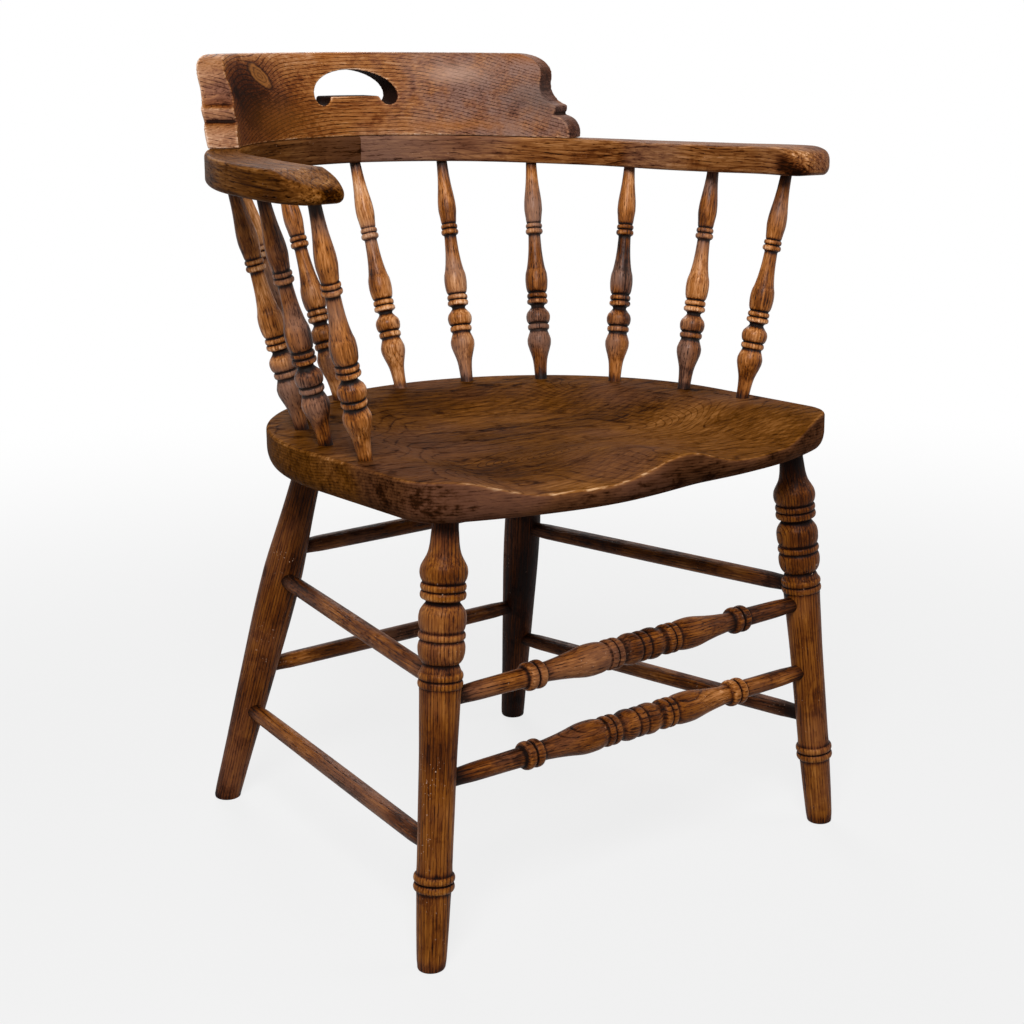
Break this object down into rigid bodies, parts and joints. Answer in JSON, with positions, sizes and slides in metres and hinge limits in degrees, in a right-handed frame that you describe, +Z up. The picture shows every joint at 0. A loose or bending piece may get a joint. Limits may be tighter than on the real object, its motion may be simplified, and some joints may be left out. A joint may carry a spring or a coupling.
{
  "type": "captains chair",
  "caption": "Low-backed wooden armchair: dished plank seat on splayed legs, turned spindles and front stretchers, and an arm bow carrying a scooped crest rail with a hand-hold.",
  "frame": {"origin": "on the floor, under the middle of the chair's bounding box", "axes": "+Z up, +Y from the front edge of the seat towards the back, +X towards the right arm as seen from the front"},
  "size_m": [0.6226, 0.5576, 0.7905],
  "materials": {
    "seat_elm": "aged dark elm, worn wax and shellac, satin",
    "bow_elm": "aged elm, worn wax and shellac, satin",
    "crest_elm": "aged figured elm, worn wax and shellac, satin",
    "spindle_ash": "stained and polished, dark in the turned grooves",
    "leg_ash": "stained and polished, worn at the feet",
    "stretcher_ash": "stained and polished, rubbed on the beads",
    "screw_steel": "dull dark steel"
  },
  "bodies": {
    "root": {"seat": "seat_elm", "arm_left": "bow_elm", "arm_right": "bow_elm", "crest_rail": "crest_elm", "crest_screw_left_1": "screw_steel", "crest_screw_left_2": "screw_steel", "crest_screw_left_3": "screw_steel", "crest_screw_right_1": "screw_steel", "crest_screw_right_2": "screw_steel", "crest_screw_right_3": "screw_steel", "spindle_centre": "spindle_ash", "spindle_left_1": "spindle_ash", "spindle_left_2": "spindle_ash", "spindle_left_3": "spindle_ash", "spindle_left_4": "spindle_ash", "spindle_left_5": "spindle_ash", "spindle_right_1": "spindle_ash", "spindle_right_2": "spindle_ash", "spindle_right_3": "spindle_ash", "spindle_right_4": "spindle_ash", "spindle_right_5": "spindle_ash", "front_leg_left": "leg_ash", "front_leg_right": "leg_ash", "rear_leg_left": "leg_ash", "rear_leg_right": "leg_ash", "front_stretcher_upper": "stretcher_ash", "front_stretcher_lower": "stretcher_ash", "rear_stretcher_upper": "stretcher_ash", "rear_stretcher_lower": "stretcher_ash", "side_stretcher_upper_left": "stretcher_ash", "side_stretcher_lower_left": "stretcher_ash", "side_stretcher_upper_right": "stretcher_ash", "side_stretcher_lower_right": "stretcher_ash"}
  },
  "joints": []
}
